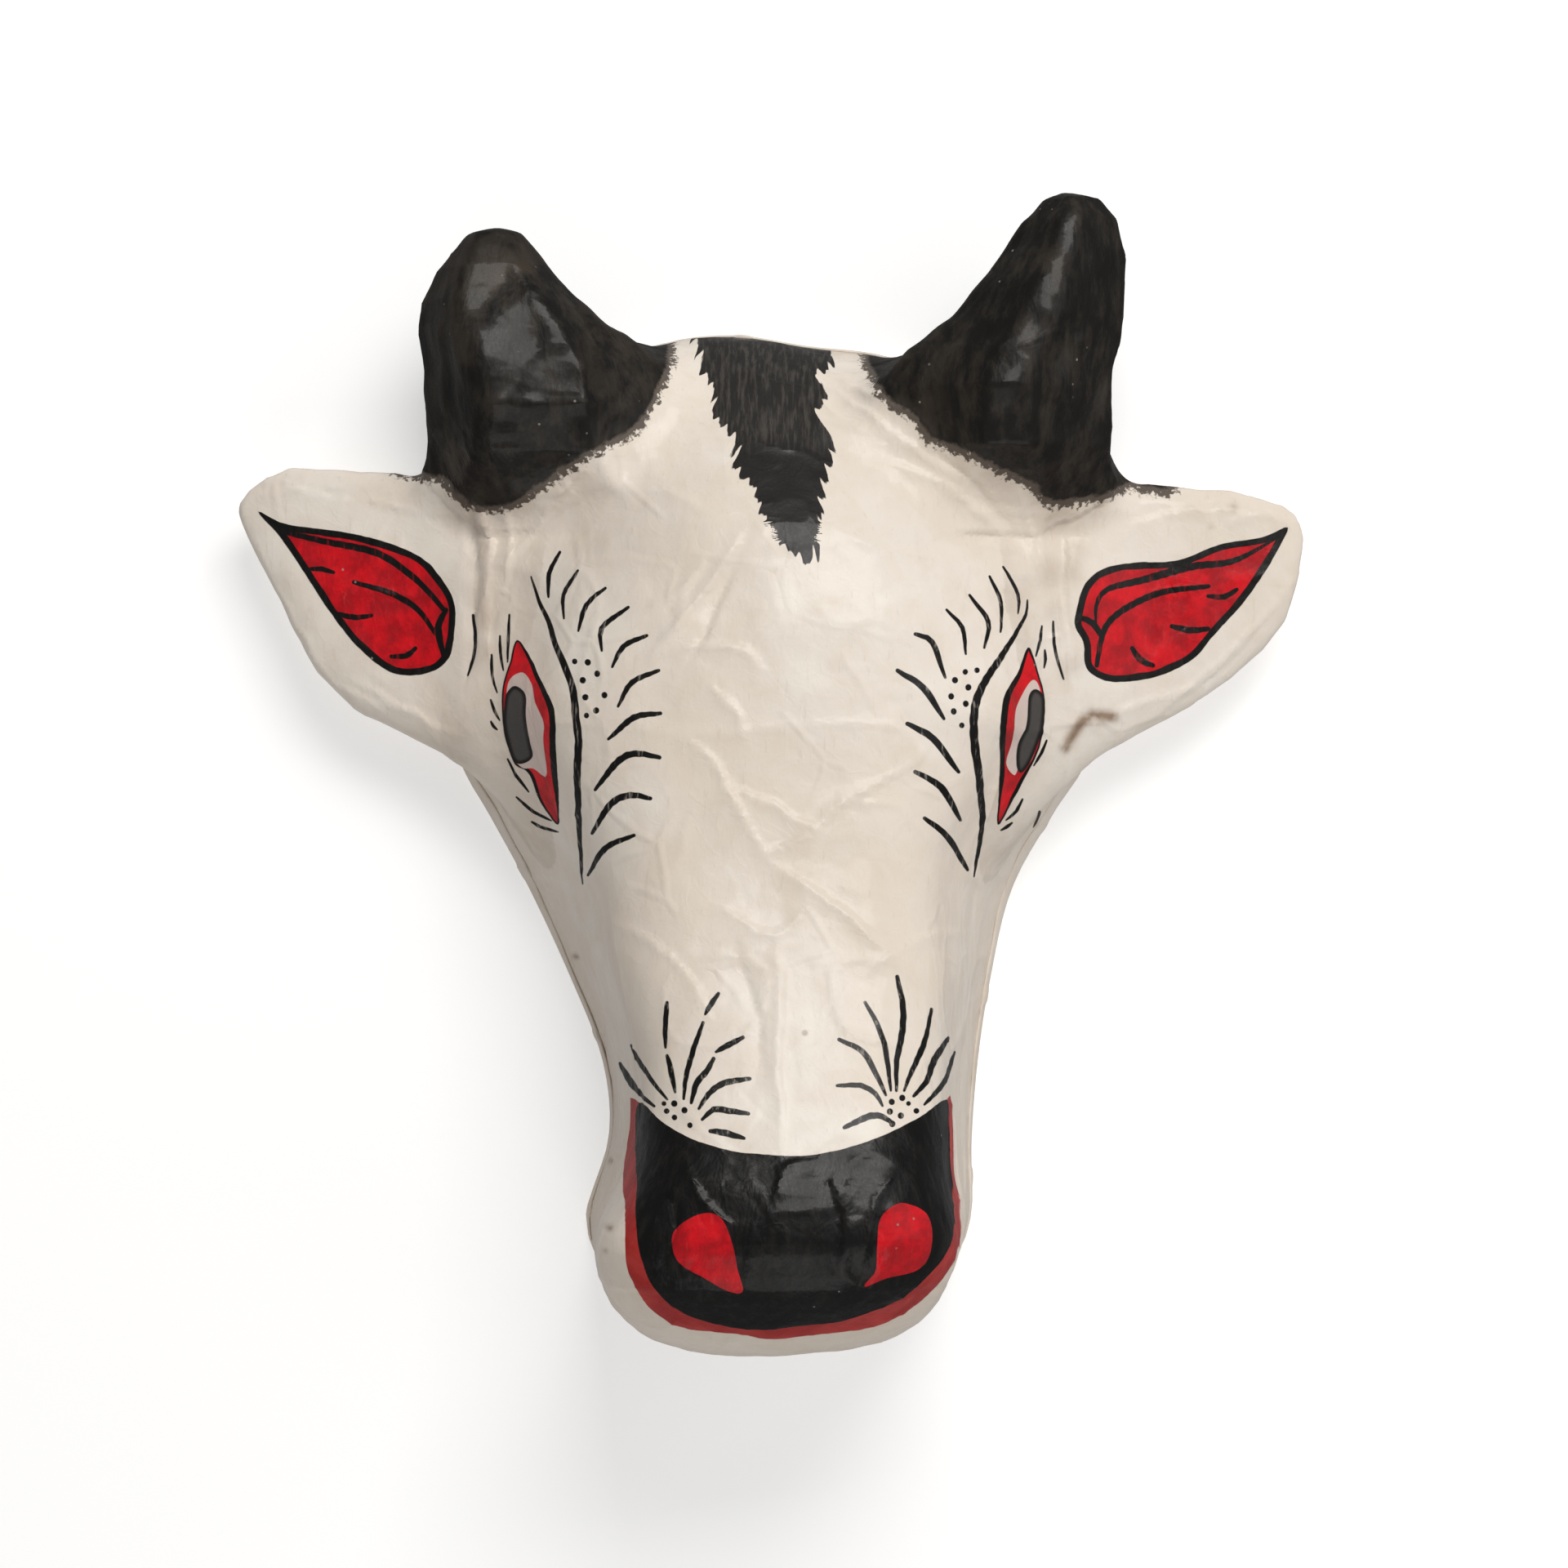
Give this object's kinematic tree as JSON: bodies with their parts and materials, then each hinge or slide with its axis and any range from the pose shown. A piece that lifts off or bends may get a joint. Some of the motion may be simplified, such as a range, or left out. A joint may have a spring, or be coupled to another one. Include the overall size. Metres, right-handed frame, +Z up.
{
  "type": "papier-mache cow mask",
  "caption": "Varnished papier-mache cow head mask: hollow painted face shell with a bound rim, stubby black horns and leaf-shaped ears with red insides, all pasted on with paper strips.",
  "frame": {"origin": "in the plane of the back rim, midway across the ears' tips and midway up the mask", "axes": "+Z up along the face, +Y out of the open back towards the wearer or wall, so the face looks along -Y; +X is the viewer's right"},
  "size_m": [0.3346, 0.1304, 0.358],
  "materials": {
    "painted_face": "pasted paper, cream paint under a glossy yellowed varnish, black and red brushwork",
    "rim_paper": "folded kraft strip, painted over outside, matt inside",
    "horn_paint": "black brushed paint on pasted paper, varnished",
    "newsprint_core": "rolled newspaper, matt",
    "ear_red_paint": "cream paint with a red leaf drawn round in black, varnished",
    "ear_cream_paint": "cream paint on pasted paper, varnished",
    "ear_card": "grey-brown cardboard, matt",
    "strip_black": "pasted paper strips, painted black",
    "strip_cream": "pasted paper strips, painted cream"
  },
  "bodies": {
    "root": {"face_shell": "painted_face", "rim_binding": "rim_paper", "horn_skin_left": "horn_paint", "horn_core_left": "newsprint_core", "horn_collar_left": "strip_black", "ear_front_left": "ear_red_paint", "ear_back_left": "ear_cream_paint", "ear_card_left": "ear_card", "ear_strip_front_left": "strip_cream", "ear_strip_back_left": "strip_cream", "horn_skin_right": "horn_paint", "horn_core_right": "newsprint_core", "horn_collar_right": "strip_black", "ear_front_right": "ear_red_paint", "ear_back_right": "ear_cream_paint", "ear_card_right": "ear_card", "ear_strip_front_right": "strip_cream", "ear_strip_back_right": "strip_cream"}
  },
  "joints": []
}
